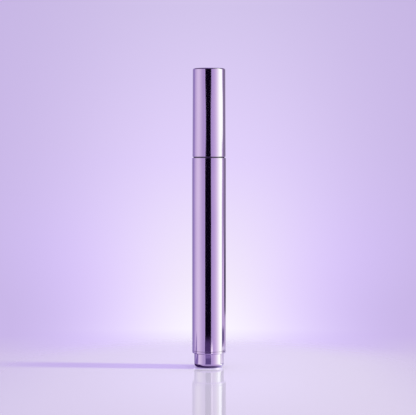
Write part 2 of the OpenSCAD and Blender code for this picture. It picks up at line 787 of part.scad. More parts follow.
// Push cam: skirt and floor in the button, and a keyed tube with ratchet teeth
module push_cam() {
    inner_round = max(button_round - shell_wall - slip, bevel);
    color("#8f7fb0") {
        translate([0, 0, push_z]) rotate_extrude() difference() {
            rounded_half(skirt_r, skirt_top_z - push_z, inner_round);
            translate([push_r, push_floor_h])
                square([skirt_r - skirt_wall - push_r, skirt_top_z]);
            translate([0, push_floor_h]) square([push_bore_r, skirt_top_z]);
        }
        translate([0, 0, push_floor_z - root_sink])
            tube(push_r, push_bore_r, ledge_z - push_floor_z + root_sink);
        translate([0, 0, ledge_z]) ratchet_teeth(
            push_bore_r + tooth_inset, push_r - tooth_inset, tooth_h, root_sink
        );
        for (k = [0:guide_keys - 1]) rotate([0, 0, 360 * k / guide_keys])
            translate([push_r - push_wall / 2, -guide_key_w / 2, key_z])
                cube([key_r - push_r + push_wall / 2, guide_key_w, guide_key_h]);
    }
}

// Drawn aluminium cup over the push cam: the button that the pen stands on
module button_shell() {
    color("#b9a2d6") rotate_extrude() difference() {
        rounded_half(button_r, button_top_z, button_round);
        translate([0, shell_wall]) rounded_half(
            button_r - shell_wall, button_top_z, button_round - shell_wall
        );
    }
}

cap_shell();
cap_liner();
cap_seal_ring();
barrel_shell();
tail_ring();
reservoir_tube();
neck_collar();
neck_o_ring();
nozzle();
brush_ferrule();
feed_pipe();
brush_hair();
piston();
lead_screw();
screw_nut();
drive_sleeve();
return_spring();
ratchet_cam();
ratchet_housing();
push_cam();
button_shell();
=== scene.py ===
"""Cuticle oil pen, dressed for its photograph: bright violet shells over moulded insides.

The pen's sizes are written in millimetres, and its meshes, the lamps and the camera are in
metres. Its axis is the Z axis, and it stands on z = 0. The photograph's camera looks
along +Y.
"""

import math

import bpy
import numpy as np
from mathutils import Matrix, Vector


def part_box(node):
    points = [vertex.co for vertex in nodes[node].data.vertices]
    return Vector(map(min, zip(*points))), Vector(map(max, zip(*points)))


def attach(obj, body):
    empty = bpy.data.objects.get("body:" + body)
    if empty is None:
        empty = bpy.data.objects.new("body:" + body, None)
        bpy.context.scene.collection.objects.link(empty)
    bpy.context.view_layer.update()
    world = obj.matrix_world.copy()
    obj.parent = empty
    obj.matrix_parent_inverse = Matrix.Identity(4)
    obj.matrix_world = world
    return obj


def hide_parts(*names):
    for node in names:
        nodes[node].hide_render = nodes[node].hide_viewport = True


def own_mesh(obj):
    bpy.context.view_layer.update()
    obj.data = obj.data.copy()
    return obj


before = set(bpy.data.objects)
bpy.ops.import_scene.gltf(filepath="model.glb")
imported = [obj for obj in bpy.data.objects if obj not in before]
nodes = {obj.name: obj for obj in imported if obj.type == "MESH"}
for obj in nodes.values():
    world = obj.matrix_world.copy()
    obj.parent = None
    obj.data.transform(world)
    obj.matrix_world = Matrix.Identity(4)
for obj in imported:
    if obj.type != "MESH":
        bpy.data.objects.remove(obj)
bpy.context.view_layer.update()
MM = 0.001

# Barrel shell
#
# A drawn aluminium tube, 0.35 mm thick, cut square and lightly rolled at both
# ends. It is pressed over the reservoir and the ratchet housing.


def rounded(corners, steps=7, hold=0.03):
    """Outline through corners (radius, height, fillet), in millimetres.

    A corner with a fillet becomes an arc that is tangent to both of its sides: the arc's
    centre lies on the corner's bisector, fillet / sin(half the corner's angle) from it. A
    point held just past each end of the arc, less on a short side, keeps the flat beside it
    flat. Corners without a fillet, such as those on the axis, stay as they are.
    """
    ring = np.array([c[:2] for c in corners], float)
    fillets = np.array([c[2] for c in corners], float)
    points = []
    for k, (corner, fillet) in enumerate(zip(ring, fillets)):
        if fillet == 0:
            points.append(corner[None])
            continue
        before, after = ring[k - 1] - corner, ring[(k + 1) % len(ring)] - corner
        before, after = before / np.linalg.norm(before), after / np.linalg.norm(after)
        half = math.acos(np.clip(before @ after, -1, 1)) / 2
        reach = fillet / math.tan(half)
        bisector = (before + after) / np.linalg.norm(before + after)
        centre = corner + bisector * fillet / math.sin(half)
        start = corner + before * reach - centre
        end = corner + after * reach - centre
        sweep = math.pi - 2 * half
        share = np.linspace(0, 1, steps)[:, None]
        arc = (np.sin((1 - share) * sweep) * start + np.sin(share * sweep) * end) / math.sin(sweep)
        held = min(hold, 0.45 * np.linalg.norm(ring[k - 1] - corner))
        points += [
            (corner + before * (reach + held))[None],
            centre + arc,
            (corner + after * (reach + held))[None],
        ]
    return np.concatenate(points)


def turned(name, outline, turns=224):
    """Mesh object of the surface that an outline sweeps round the Z axis.

    Point k of the outline, at radius r and height z, and turn angle a give
    x = r cos a, y = r sin a, z. An outline that runs anticlockwise, radius to the right and
    height up, gives faces that point outwards. One that begins and ends on the axis gets a
    single point at each end, and any other closes on itself.
    """
    r, z = outline.T * MM
    open_ended = r[0] == 0
    angle = np.linspace(0, 2 * np.pi, turns, endpoint=False)
    points = np.stack(
        [
            np.outer(r, np.cos(angle)),
            np.outer(r, np.sin(angle)),
            np.outer(z, np.ones(turns)),
        ],
        axis=-1,
    ).reshape(-1, 3)
    index = np.arange(len(r) * turns).reshape(len(r), turns)
    rows = index[1:-1] if open_ended else index
    low = rows[:-1] if open_ended else rows
    high = rows[1:] if open_ended else np.roll(rows, -1, axis=0)
    quads = np.stack([low, np.roll(low, -1, 1), np.roll(high, -1, 1), high], axis=-1)
    faces = quads.reshape(-1, 4).tolist()
    if open_ended:
        first, last = index[1], index[-2]
        faces += [[index[0, 0], b, a] for a, b in zip(first, np.roll(first, -1))]
        faces += [[index[-1, 0], a, b] for a, b in zip(last, np.roll(last, -1))]
        keep = np.concatenate([[index[0, 0]], rows.ravel(), [index[-1, 0]]])
        renumber = np.full(len(points), -1)
        renumber[keep] = np.arange(len(keep))
        points = points[keep]
        faces = [[int(renumber[v]) for v in face] for face in faces]
    return meshed(name, points, faces)


def meshed(name, points, faces):
    """Smooth-shaded mesh object from points in metres and faces of point numbers."""
    mesh = bpy.data.meshes.new(name)
    mesh.from_pydata(points.tolist(), [], faces)
    mesh.polygons.foreach_set("use_smooth", np.ones(len(mesh.polygons), bool))
    mesh.update()
    made = bpy.data.objects.new(name, mesh)
    bpy.context.scene.collection.objects.link(made)
    return made


def wire(tree, kind, **settings):
    """Adds a shader node. A setting named like a socket, with _ for a space, or in0, in1 and
    so on for a socket by number, sets or links that socket, and any other is an attribute of
    the node."""
    made = tree.nodes.new(kind)
    for key, value in settings.items():
        if key[:2] == "in" and key[2:].isdigit():
            socket = made.inputs[int(key[2:])]
        elif key.replace("_", " ") in made.inputs:
            socket = made.inputs[key.replace("_", " ")]
        else:
            setattr(made, key, value)
            continue
        if isinstance(value, bpy.types.NodeSocket):
            tree.links.new(value, socket)
        else:
            socket.default_value = value
    return made


def figure(tree, operation, *values):
    """Output of a Math node on values that are numbers or sockets."""
    settings = {f"in{k}": value for k, value in enumerate(values)}
    return wire(tree, "ShaderNodeMath", operation=operation, **settings).outputs[0]


def spread(tree, value, low, high, to_low=0.0, to_high=1.0, smooth=True):
    """Value carried from the span low to high to the span to_low to to_high, and held there
    past its ends."""
    made = wire(
        tree,
        "ShaderNodeMapRange",
        interpolation_type="SMOOTHSTEP" if smooth else "LINEAR",
        Value=value,
        From_Min=low,
        From_Max=high,
        To_Min=to_low,
        To_Max=to_high,
    )
    return made.outputs[0]


def blended(tree, share, one, other, blend="MIX"):
    """Colour of a Mix node: one where share is 0, and where it is 1 the other, or the two
    added or multiplied."""
    made = wire(
        tree,
        "ShaderNodeMix",
        data_type="RGBA",
        blend_type=blend,
        in0=share,
        in6=one,
        in7=other,
    )
    return made.outputs[2]


def noise(tree, scale, stretch, detail):
    """Noise on Object coordinates, in features per metre, stretched along the axes."""
    where = wire(tree, "ShaderNodeTexCoord").outputs["Object"]
    placed = wire(tree, "ShaderNodeMapping", Vector=where, Scale=stretch).outputs[0]
    made = wire(tree, "ShaderNodeTexNoise", Vector=placed, Scale=scale, Detail=detail)
    return made.outputs[0]


def finish(name, inputs, effect):
    """Shader node group of a finish. Its inputs are colours from tuples and floats from
    numbers, and its Color, Roughness and Height are what the effect, a function of the tree
    and those inputs, gives."""
    tree = bpy.data.node_groups.new(name, "ShaderNodeTree")
    for key, value in inputs.items():
        kind = "NodeSocketColor" if isinstance(value, tuple) else "NodeSocketFloat"
        tree.interface.new_socket(key, in_out="INPUT", socket_type=kind).default_value = value
    for key, kind in (("Color", "Color"), ("Roughness", "Float"), ("Height", "Float")):
        tree.interface.new_socket(key, in_out="OUTPUT", socket_type="NodeSocket" + kind)
    given = tree.nodes.new("NodeGroupInput").outputs
    result = tree.nodes.new("NodeGroupOutput").inputs
    for socket, value in zip(result, effect(tree, given)):
        tree.links.new(value, socket)
    return tree


def emptied(holder):
    """Node tree of a material or the world, cleared of its nodes."""
    holder.use_nodes = True
    holder.node_tree.nodes.clear()
    return holder.node_tree


def drawn_metal(tree, given):
    """Bright drawn metal: lengthwise polishing lines and soft patches of handling haze in the
    gloss, a faint drift of the tint, and a relief of shallow dimples and the lines."""
    lines = noise(tree, 5200, (1, 1, 0.012), 2.0)
    patches = noise(tree, 150, (1, 1, 0.45), 4.0)
    drift = noise(tree, 60, (1, 1, 0.6), 2.0)
    dimples = noise(tree, 900, (1, 1, 0.5), 3.0)
    hazy = figure(tree, "MULTIPLY", spread(tree, patches, 0.42, 0.72), given["Haze"])
    lined = spread(tree, lines, 0.35, 0.75, 0.0, 0.03)
    rough = figure(tree, "ADD", figure(tree, "ADD", given["Roughness"], hazy), lined)
    colour = blended(tree, spread(tree, drift, 0.3, 0.7, 0.0, 0.5), given["Tint"], given["Deep"])
    height = figure(tree, "MULTIPLY_ADD", lines, 0.25, dimples)
    return colour, rough, height


def surfaced(name, group, values, relief, **principled):
    """Material whose Principled BSDF takes colour, roughness and relief from a finish's group
    with the given values; relief is the height of the bump in metres."""
    made = bpy.data.materials.new(name)
    tree = emptied(made)
    given = wire(tree, "ShaderNodeGroup", node_tree=group, **values).outputs
    bump = wire(tree, "ShaderNodeBump", Height=given["Height"], Distance=relief, Strength=1.0)
    shader = wire(
        tree,
        "ShaderNodeBsdfPrincipled",
        Base_Color=given["Color"],
        Roughness=given["Roughness"],
        Normal=bump.outputs[0],
        **principled,
    )
    wire(tree, "ShaderNodeOutputMaterial", Surface=shader.outputs[0])
    return made


def coated(piece, material):
    """Gives a piece or a CAD node its one material."""
    piece.data.materials.clear()
    piece.data.materials.append(material)
    return piece


bright_metal = finish(
    "bright_metal_finish",
    {"Tint": (0.6, 0.5, 0.8, 1), "Deep": (0.5, 0.4, 0.7, 1), "Roughness": 0.08, "Haze": 0.05},
    drawn_metal,
)
violet_metal = surfaced(
    "violet_metal",
    bright_metal,
    {
        "Tint": (0.62, 0.48, 0.81, 1),
        "Deep": (0.58, 0.44, 0.79, 1),
        "Roughness": 0.052,
        "Haze": 0.03,
    },
    relief=0.0000002,
    Metallic=1.0,
    Coat_Weight=0.12,
    Coat_Roughness=0.03,
)

shell_wall = 0.35
barrel_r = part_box("barrel_shell")[1].x / MM
barrel_low, barrel_high = (corner.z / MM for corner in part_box("barrel_shell"))
barrel = turned(
    "barrel_tube",
    rounded(
        [
            (barrel_r - shell_wall, barrel_low, 0.04),
            (barrel_r, barrel_low, 0.08),
            (barrel_r, barrel_high, 0.1),
            (barrel_r - shell_wall, barrel_high, 0.06),
        ]
    ),
)
coated(barrel, violet_metal)
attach(barrel, "barrel")
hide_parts("barrel_shell")

# Tail ring
#
# A turned aluminium ring that frames the button. Its spigot is pressed in the
# barrel, and its lower edge is rounded.

ring_bore_r = 6.7
spigot_r = 7.1
ring_h = 1.15
ring_edge = 0.5
ring_low, ring_top = (corner.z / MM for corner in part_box("tail_ring"))
tail_ring = turned(
    "tail_end_ring",
    rounded(
        [
            (ring_bore_r, ring_low, 0.1),
            (barrel_r, ring_low, ring_edge),
            (barrel_r, ring_low + ring_h, 0.08),
            (spigot_r, ring_low + ring_h, 0.03),
            (spigot_r, ring_top, 0.1),
            (ring_bore_r, ring_top, 0.1),
        ]
    ),
)
coated(tail_ring, violet_metal)
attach(tail_ring, "barrel")
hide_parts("tail_ring")

# Push button
#
# A deep-drawn aluminium cup with a broad rounded edge, pressed over the
# toothed push cam. The pen stands on its flat face.

button_edge = 1.9
button_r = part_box("button_shell")[1].x / MM
button_low, button_top = (corner.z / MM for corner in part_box("button_shell"))
button = turned(
    "button_cup",
    rounded(
        [
            (0, button_low, 0),
            (button_r, button_low, button_edge),
            (button_r, button_top, 0.1),
            (button_r - shell_wall, button_top, 0.08),
            (button_r - shell_wall, button_low + shell_wall, button_edge - shell_wall),
            (0, button_low + shell_wall, 0),
        ],
        steps=20,
    ),
)
coated(button, violet_metal)
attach(button, "button")
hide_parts("button_shell")

# Cap shell
#
# A deep-drawn aluminium cup with a small rounded top edge and a slight taper.
# The liner is pressed in it.

cap_edge = 0.7
cap_roof = 0.5
cap_taper = 0.15
cap_mouth_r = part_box("cap_shell")[1].x / MM
cap_top_r = cap_mouth_r - cap_taper
cap_low, cap_top = (corner.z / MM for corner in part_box("cap_shell"))
cap = turned(
    "cap_cup",
    rounded(
        [
            (0, cap_top - cap_roof, 0),
            (cap_top_r - shell_wall, cap_top - cap_roof, cap_edge / 2),
            (cap_mouth_r - shell_wall, cap_low, 0.06),
            (cap_mouth_r, cap_low, 0.12),
            (cap_top_r, cap_top, cap_edge),
            (0, cap_top, 0),
        ],
        steps=9,
    ),
)
coated(cap, violet_metal)
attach(cap, "cap")
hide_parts("cap_shell")

# Moulded pieces
#
# Cap liner, neck, reservoir, nozzle, piston, nut, screw and click gear, all
# injection moulded in polypropylene, acetal or ABS.


def moulding(tree, given):
    """Moulded plastic: a drift of the tint along the flow, fine satin grain, and slightly
    glossier patches where the tool was polished."""
    flow = noise(tree, 220, (1, 1, 0.35), 4.0)
    grain = noise(tree, 9000, (1, 1, 1), 2.0)
    polish = noise(tree, 500, (1, 1, 1), 3.0)
    colour = blended(tree, spread(tree, flow, 0.35, 0.75, 0.0, 0.6), given["Tint"], given["Shade"])
    rough = figure(tree, "ADD", given["Roughness"], spread(tree, polish, 0.3, 0.7, -0.05, 0.05))
    return colour, rough, figure(tree, "MULTIPLY", grain, given["Grain"])


moulded = finish(
    "moulded_finish",
    {"Tint": (0.8, 0.8, 0.8, 1), "Shade": (0.7, 0.7, 0.7, 1), "Roughness": 0.4, "Grain": 1.0},
    moulding,
)
liner_plastic = surfaced(
    "liner_plastic",
    moulded,
    {"Tint": (0.86, 0.84, 0.89, 1), "Shade": (0.80, 0.77, 0.85, 1), "Roughness": 0.42},
    relief=0.000003,
    Subsurface_Weight=0.2,
    Subsurface_Radius=(0.002, 0.0018, 0.0022),
    Subsurface_Scale=1.0,
)
neck_plastic = surfaced(
    "neck_plastic",
    moulded,
    {"Tint": (0.055, 0.03, 0.085, 1), "Shade": (0.04, 0.022, 0.065, 1), "Roughness": 0.2},
    relief=0.000002,
)
clear_plastic = surfaced(
    "clear_plastic",
    moulded,
    {"Tint": (0.93, 0.92, 0.96, 1), "Shade": (0.89, 0.87, 0.94, 1), "Roughness": 0.2},
    relief=0.000002,
    Transmission_Weight=0.55,
    IOR=1.49,
)
gear_plastic = surfaced(
    "gear_plastic",
    moulded,
    {"Tint": (0.80, 0.78, 0.84, 1), "Shade": (0.75, 0.72, 0.80, 1), "Roughness": 0.36},
    relief=0.000003,
)
housing_plastic = surfaced(
    "housing_plastic",
    moulded,
    {"Tint": (0.74, 0.72, 0.79, 1), "Shade": (0.69, 0.66, 0.75, 1), "Roughness": 0.45},
    relief=0.000004,
)
for name, material in {
    "cap_liner": liner_plastic,
    "piston": liner_plastic,
    "neck_collar": neck_plastic,
    "reservoir_tube": clear_plastic,
    "nozzle": clear_plastic,
    "lead_screw": gear_plastic,
    "screw_nut": gear_plastic,
    "drive_sleeve": gear_plastic,
    "ratchet_cam": gear_plastic,
    "push_cam": gear_plastic,
    "ratchet_housing": housing_plastic,
}.items():
    coated(nodes[name], material)

# Seals
#
# A cut washer in the cap and a moulded ring on the neck's plug, both of soft
# nitrile.

seal_rubber = surfaced(
    "seal_rubber",
    moulded,
    {
        "Tint": (0.30, 0.27, 0.34, 1),
        "Shade": (0.25, 0.22, 0.29, 1),
        "Roughness": 0.62,
        "Grain": 1.6,
    },
    relief=0.000004,
    Sheen_Weight=0.15,
)
for name in ("cap_seal_ring", "neck_o_ring"):
    coated(nodes[name], seal_rubber)

# Ferrule and feed pipe
#
# Drawn stainless: a crimped sleeve that grips the hair, and the capillary in
# its middle that brings the oil.

bare_steel = surfaced(
    "bare_steel",
    bright_metal,
    {
        "Tint": (0.70, 0.69, 0.72, 1),
        "Deep": (0.64, 0.63, 0.66, 1),
        "Roughness": 0.2,
        "Haze": 0.12,
    },
    relief=0.000002,
    Metallic=1.0,
)
for name in ("brush_ferrule", "feed_pipe"):
    coated(nodes[name], bare_steel)

# Brush hair
#
# A few hundred tapered nylon hairs, gathered in the ferrule round the feed
# pipe. They swell past the ferrule and close to a soft point.

ferrule_top, pipe_top, hair_tip = (
    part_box(name)[1].z / MM for name in ("brush_ferrule", "feed_pipe", "brush_hair")
)
gripped = 1.2
hair_base = ferrule_top - gripped
hair_r = 0.058
ferrule_bore_r = 1.5
belly = 0.43
belly_at = 0.28
pipe_clear_r = 0.84
pipe_clear_top = pipe_top + 0.2
closing_h = 3.0


def brush(name, count=420, rings=9, sides=4):
    """Mesh of all hairs as one grid of hair number, ring along the hair and side of the ring.

    A hair keeps its own share of the bundle's radius, which swells past the ferrule's bore
    by the belly, widest at belly_at of the free length, and falls to a point as one minus
    the height's power of 2.2. The hairs keep clear of the feed pipe and close over its top.
    They start on a sunflower pattern, each a golden angle on from the last, with radius as
    the square root of its number. Each is a little shorter the further out it lies, waves by
    a few hundredths of a millimetre, and thins towards its tip.
    """
    rng = np.random.default_rng(7)
    number = np.arange(count)
    share = np.sqrt((number + 0.5) / count)
    golden = number * math.pi * (3 - math.sqrt(5)) + rng.normal(0, 0.05, count)
    length = (hair_tip - hair_base) * (1 - 0.10 * share**2 - rng.uniform(0, 0.05, count))
    along = np.linspace(0, 1, rings)[None, :]
    height = hair_base + length[:, None] * along
    past = np.clip((height - ferrule_top) / (hair_tip - ferrule_top), -0.2, 1)
    swell = ferrule_bore_r + belly * np.clip(past / belly_at, 0, 1) ** 0.8
    close = 1 - np.clip((past - belly_at) / (1 - belly_at), 0, 1) ** 2.2
    bundle = swell * (0.06 + 0.94 * close)
    inner = pipe_clear_r * np.clip(1 - (height - pipe_clear_top) / closing_h, 0, 1)
    radius = inner + (bundle - inner).clip(0.02) * share[:, None]
    sway = rng.normal(0, 0.035, (count, 2))[:, None, :] * (along**1.5)[..., None]
    turn = golden[:, None] + 0.06 * along
    middle = np.stack([radius * np.cos(turn), radius * np.sin(turn)], axis=-1) + sway
    thick = (hair_r * (1 - 0.62 * along**1.6))[..., None]
    corner = np.linspace(0, 2 * np.pi, sides, endpoint=False)[None, None, :]
    x = middle[..., 0:1] + thick * np.cos(corner)
    y = middle[..., 1:2] + thick * np.sin(corner)
    z = np.repeat(height[..., None], sides, axis=2)
    points = np.stack([x, y, z], axis=-1).reshape(-1, 3) * MM
    index = np.arange(len(points)).reshape(count, rings, sides)
    low, high = index[:, :-1], index[:, 1:]
    quads = np.stack([low, np.roll(low, -1, 2), np.roll(high, -1, 2), high], axis=-1)
    ends = np.concatenate([index[:, 0, ::-1], index[:, -1]])
    return meshed(name, points, quads.reshape(-1, 4).tolist() + ends.tolist())


def nylon(tree, given):
    """Pale nylon: streaks along the hair, a little darker and duller than the rest."""
    strands = noise(tree, 6500, (1, 1, 0.02), 2.0)
    colour = blended(tree, spread(tree, strands, 0.3, 0.7), given["Tint"], given["Shade"])
    rough = figure(tree, "ADD", given["Roughness"], spread(tree, strands, 0.3, 0.7, -0.05, 0.05))
    return colour, rough, strands


brush_fibre = surfaced(
    "brush_fibre",
    finish(
        "hair_finish",
        {"Tint": (0.9, 0.9, 0.9, 1), "Shade": (0.8, 0.8, 0.8, 1), "Roughness": 0.4},
        nylon,
    ),
    {"Tint": (0.93, 0.91, 0.94, 1), "Shade": (0.84, 0.81, 0.87, 1), "Roughness": 0.38},
    relief=0.000001,
    Sheen_Weight=0.2,
)
hair = coated(brush("brush_hairs"), brush_fibre)
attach(hair, "barrel")
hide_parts("brush_hair")

# Return spring
#
# Hard-drawn steel wire, 0.55 mm, wound seven turns with closed ends. It
# shortens as the button pushes the cam up.

wire_d = 0.55
coil_r = 5.3
end_gap = 0.45
spring_low, spring_high = (corner.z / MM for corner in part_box("return_spring"))


def coil(name, turns=7, steps=56, sides=14):
    """Round wire along a helix of coil_r: the angle grows evenly, the height climbs a wire
    and an end gap in the first and last turns and evenly between, and a circle stands square
    to the path at each step."""
    turn = np.linspace(0, turns, turns * steps + 1)
    closed = wire_d + end_gap
    rise = spring_high - spring_low - wire_d - 2 * closed
    climb = [0, closed, closed + rise, rise + 2 * closed]
    height = spring_low + wire_d / 2 + np.interp(turn, [0, 1, turns - 1, turns], climb)
    angle = 2 * np.pi * turn
    path = np.stack([coil_r * np.cos(angle), coil_r * np.sin(angle), height], axis=-1)
    tangent = np.gradient(path, axis=0)
    tangent /= np.linalg.norm(tangent, axis=1, keepdims=True)
    out = np.stack([np.cos(angle), np.sin(angle), np.zeros_like(angle)], axis=-1)
    up = np.cross(out, tangent)
    up *= np.sign(up[:, 2:3])
    corner = np.linspace(0, 2 * np.pi, sides, endpoint=False)
    sideways = np.cos(corner)[None, :, None] * out[:, None]
    upright = np.sin(corner)[None, :, None] * up[:, None]
    points = (path[:, None] + (sideways + upright) * wire_d / 2).reshape(-1, 3) * MM
    index = np.arange(len(points)).reshape(len(turn), sides)
    row, after = index[:-1], index[1:]
    quads = np.stack([after, np.roll(after, -1, 1), np.roll(row, -1, 1), row], axis=-1)
    ends = [index[0].tolist(), index[-1, ::-1].tolist()]
    return meshed(name, points, quads.reshape(-1, 4).tolist() + ends)


spring = coated(coil("return_coil"), bare_steel)
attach(spring, "drive")
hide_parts("return_spring")
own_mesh(spring)

# Studio
#
# A pale lavender sweep with a glow low behind the pen, and the soft panels and
# black flag that a bright cylinder mirrors. It is all in the world, by bearing
# and by lift above the horizon, both in degrees.

DEGREES = 180 / math.pi


def screen(code):
    """Linear colour, with alpha, of an on-screen colour written as six hexadecimal digits."""
    parts = np.array([int(code[k : k + 2], 16) for k in (0, 2, 4)]) / 255
    return (*np.where(parts <= 0.04045, parts / 12.92, ((parts + 0.055) / 1.055) ** 2.4), 1)


def product(tree, first, *others):
    """Output of Math nodes that multiply numbers or sockets, one after the other."""
    for other in others:
        first = figure(tree, "MULTIPLY", first, other)
    return first


def without(tree, value):
    """One minus a value."""
    return figure(tree, "SUBTRACT", 1.0, value)


def glow(tree, value, centre, width):
    """One at the centre, falling off on both sides as a bell of the given half width."""
    off = figure(tree, "DIVIDE", figure(tree, "SUBTRACT", value, centre), width)
    return figure(tree, "EXPONENT", product(tree, off, off, -1.0))


def within(tree, value, start, end, fade_in, fade_out):
    """One between start and end, fading to zero over the given spans past them."""
    rising = spread(tree, value, start - fade_in, start)
    return product(tree, rising, spread(tree, value, end + fade_out, end))


def around(tree, x, y):
    """Bearing of the vector (x, y) in degrees: 0 towards the camera and 90 to the right."""
    return product(tree, figure(tree, "ARCTAN2", x, product(tree, y, -1.0)), DEGREES)


def ramp(tree, value, stops):
    """Colour by a value: linear between the stops, a dict of value and on-screen colour."""
    low, high = min(stops), max(stops)
    share = spread(tree, value, low, high, smooth=False)
    made = wire(tree, "ShaderNodeValToRGB", Fac=share)
    band = made.color_ramp
    band.elements.remove(band.elements[-1])
    band.elements[0].position, band.elements[0].color = 0.0, screen(stops[low])
    for at in sorted(stops)[1:]:
        band.elements.new((at - low) / (high - low)).color = screen(stops[at])
    return made.outputs[0]


def panels(tree, bearing):
    """What stands round the pen, by bearing: a dim surround, a pale panel on the left with a
    faint strip beside the flag, and a white softbox on the right, brighter in its middle.
    Each is a bearing, a half width and the light that it adds."""
    colour = (0.59, 0.52, 0.69, 1)
    for centre, width, light in (
        (-80.0, 30.0, (0.45, 0.51, 0.26, 1)),
        (-31.0, 3.0, (0.09, 0.08, 0.08, 1)),
        (88.0, 46.0, (0.67, 0.58, 0.41, 1)),
        (92.0, 30.0, (0.45, 1.10, 0.20, 1)),
    ):
        colour = blended(tree, glow(tree, bearing, centre, width), colour, light, "ADD")
    return colour


world = bpy.data.worlds.new("studio")
bpy.context.scene.world = world
sky = emptied(world)
towards = wire(sky, "ShaderNodeTexCoord").outputs["Generated"]
east, north, up = wire(sky, "ShaderNodeSeparateXYZ", Vector=towards).outputs
bearing = around(sky, east, north)
behind = figure(sky, "SUBTRACT", 180.0, figure(sky, "ABSOLUTE", bearing))
lift = product(sky, figure(sky, "ARCSINE", up), DEGREES)
rays = wire(sky, "ShaderNodeLightPath").outputs

# The sweep brightens down to the glow where it meets the table. The glow is a bell across,
# narrower low down, and where it gives way to the sides it is more violet.
middle = ramp(
    sky,
    lift,
    {
        -9.5: "e0d7f4",
        -6.9: "e6dbfc",
        -6.1: "fbf6ff",
        -4.4: "f3eafc",
        0.0: "e3d3fd",
        5.6: "d2c4ec",
        6.6: "ddcdf3",
        7.7: "dccdf2",
        9.0: "d3c4e8",
    },
)
sides = ramp(sky, lift, {-9.5: "d2cae5", -7.0: "d0c1e8", -6.3: "cab7ea", 8.0: "c6b5e3"})
bell_width = figure(sky, "MULTIPLY_ADD", glow(sky, lift, -5.8, 2.0), -1.1, 5.8)
bell = glow(sky, figure(sky, "DIVIDE", behind, bell_width), 0.0, 1.0)
lit = spread(sky, bell, 0.1, 1.0, smooth=False)
sweep = blended(sky, lit, sides, middle)
flank = product(sky, lit, without(sky, lit), spread(sky, lift, 1.0, -4.5, 0.0, 4.0))
sweep = blended(sky, flank, sweep, (0.985, 0.93, 1.085, 1), "MULTIPLY")

# What the metal mirrors: the panels, and a darker corner at the left back
left_back = within(sky, bearing, -164.0, -126.0, 16.0, 10.0)
walls = blended(sky, left_back, panels(sky, bearing), (0.42, 0.36, 0.57, 1))

# The softbox ends at a bearing that steps with lift, and a greyer wall follows it
not_behind = spread(sky, bearing, 180.0, 170.0)
softbox_end = spread(sky, lift, -1.5, -0.5, 97.0, 99.5)
softbox_end = figure(sky, "ADD", softbox_end, spread(sky, lift, 0.85, 1.15, 0.0, 15.0))
softbox_end = figure(sky, "ADD", softbox_end, spread(sky, lift, 2.65, 2.9, 0.0, -8.5))
past_softbox = spread(sky, figure(sky, "SUBTRACT", bearing, softbox_end), 0.0, 3.5)
walls = blended(sky, product(sky, past_softbox, not_behind), walls, (0.70, 0.64, 0.72, 1))

# Then a dark gap, deepest low down, with a pale rim before it
gap_start = spread(sky, lift, -2.0, -3.4, 113.0, 122.0)
gap = spread(sky, figure(sky, "SUBTRACT", bearing, gap_start), 0.0, 7.0)
gap_depth = figure(sky, "MULTIPLY_ADD", glow(sky, lift, -4.3, 1.5), 0.33, 0.62)
gap_depth = product(sky, gap_depth, spread(sky, lift, -5.7, -5.45))
walls = blended(sky, product(sky, gap, not_behind, gap_depth), walls, (0.07, 0.05, 0.10, 1))
rim = product(sky, glow(sky, lift, -4.5, 1.1), glow(sky, bearing, 116.0, 5.0))
walls = blended(sky, rim, walls, (0.40, 0.36, 0.30, 1), "ADD")

# The black flag hides the camera. It is narrower at the lifts of the cap's lower half, and
# its right edge stands further out above and below.
narrow = within(sky, lift, 0.85, 2.7, 0.3, 0.2)
from_left = figure(sky, "MULTIPLY_ADD", narrow, -5.8, bearing)
from_right = figure(sky, "MULTIPLY_ADD", narrow, 1.3, bearing)
from_right = figure(sky, "SUBTRACT", from_right, spread(sky, lift, 2.6, 2.95, 0.0, 2.9))
from_right = figure(sky, "SUBTRACT", from_right, spread(sky, lift, -0.5, -1.5, 0.3, 1.4))
flag = product(sky, spread(sky, from_left, -27.5, -26.5), spread(sky, from_right, 13.8, 12.4))
walls = blended(sky, flag, walls, (0.003, 0.001, 0.006, 1))

# Overhead it is dim, but for the softbox
not_softbox = without(sky, within(sky, bearing, 78.0, 98.0, 8.0, 8.0))
overhead = product(sky, spread(sky, lift, 18.0, 30.0), not_softbox)
mirrored = blended(sky, overhead, walls, (0.12, 0.09, 0.16, 1))

# Painted reflection: the pen's image in the table, seen after two glossy bounces, gets a world
# of its own, where the panels are warmer, with a painted hot core, a dark gap past it and a
# line beside the flag
twice = spread(sky, rays["Glossy Depth"], 1.25, 1.75)
mirrored = blended(sky, twice, mirrored, (0.88, 1.05, 0.70, 1), "MULTIPLY")
core = product(sky, twice, within(sky, bearing, 76.0, 92.0, 5.0, 4.0))
mirrored = blended(sky, core, mirrored, (1.9, 2.6, 1.5, 1))
past_core = product(
    sky, twice, within(sky, bearing, 101.0, 122.0, 5.0, 8.0), spread(sky, lift, 7.85, 8.05)
)
mirrored = blended(sky, past_core, mirrored, (0.16, 0.18, 0.16, 1))
line = product(sky, twice, within(sky, bearing, 14.0, 23.0, 1.5, 5.0))
mirrored = blended(sky, line, mirrored, (0.55, 0.60, 0.40, 1), "ADD")

# The sweep's image in the table is of lifts above those that the upright metal mirrors
over_table = product(sky, spread(sky, lift, 4.4, 5.6), spread(sky, behind, 16.0, 10.0))
mirrored = blended(sky, over_table, mirrored, sweep)

# The camera and glass see the sweep, gloss sees what is mirrored, and all else is lit evenly
seen = figure(sky, "MAXIMUM", rays["Is Camera Ray"], rays["Is Transmission Ray"])
ambient = (0.78, 0.72, 1.0, 1)
shown = blended(sky, seen, blended(sky, rays["Is Glossy Ray"], ambient, mirrored), sweep)
backlight = wire(sky, "ShaderNodeBackground", Color=shown)
wire(sky, "ShaderNodeOutputWorld", Surface=backlight.outputs[0])

# Table
#
# A glossy disc that fades out into the sweep and is clear from below. On it,
# across is to the right, depth away from the camera and reach from the pen's
# axis, in millimetres, and turn is the bearing in degrees.


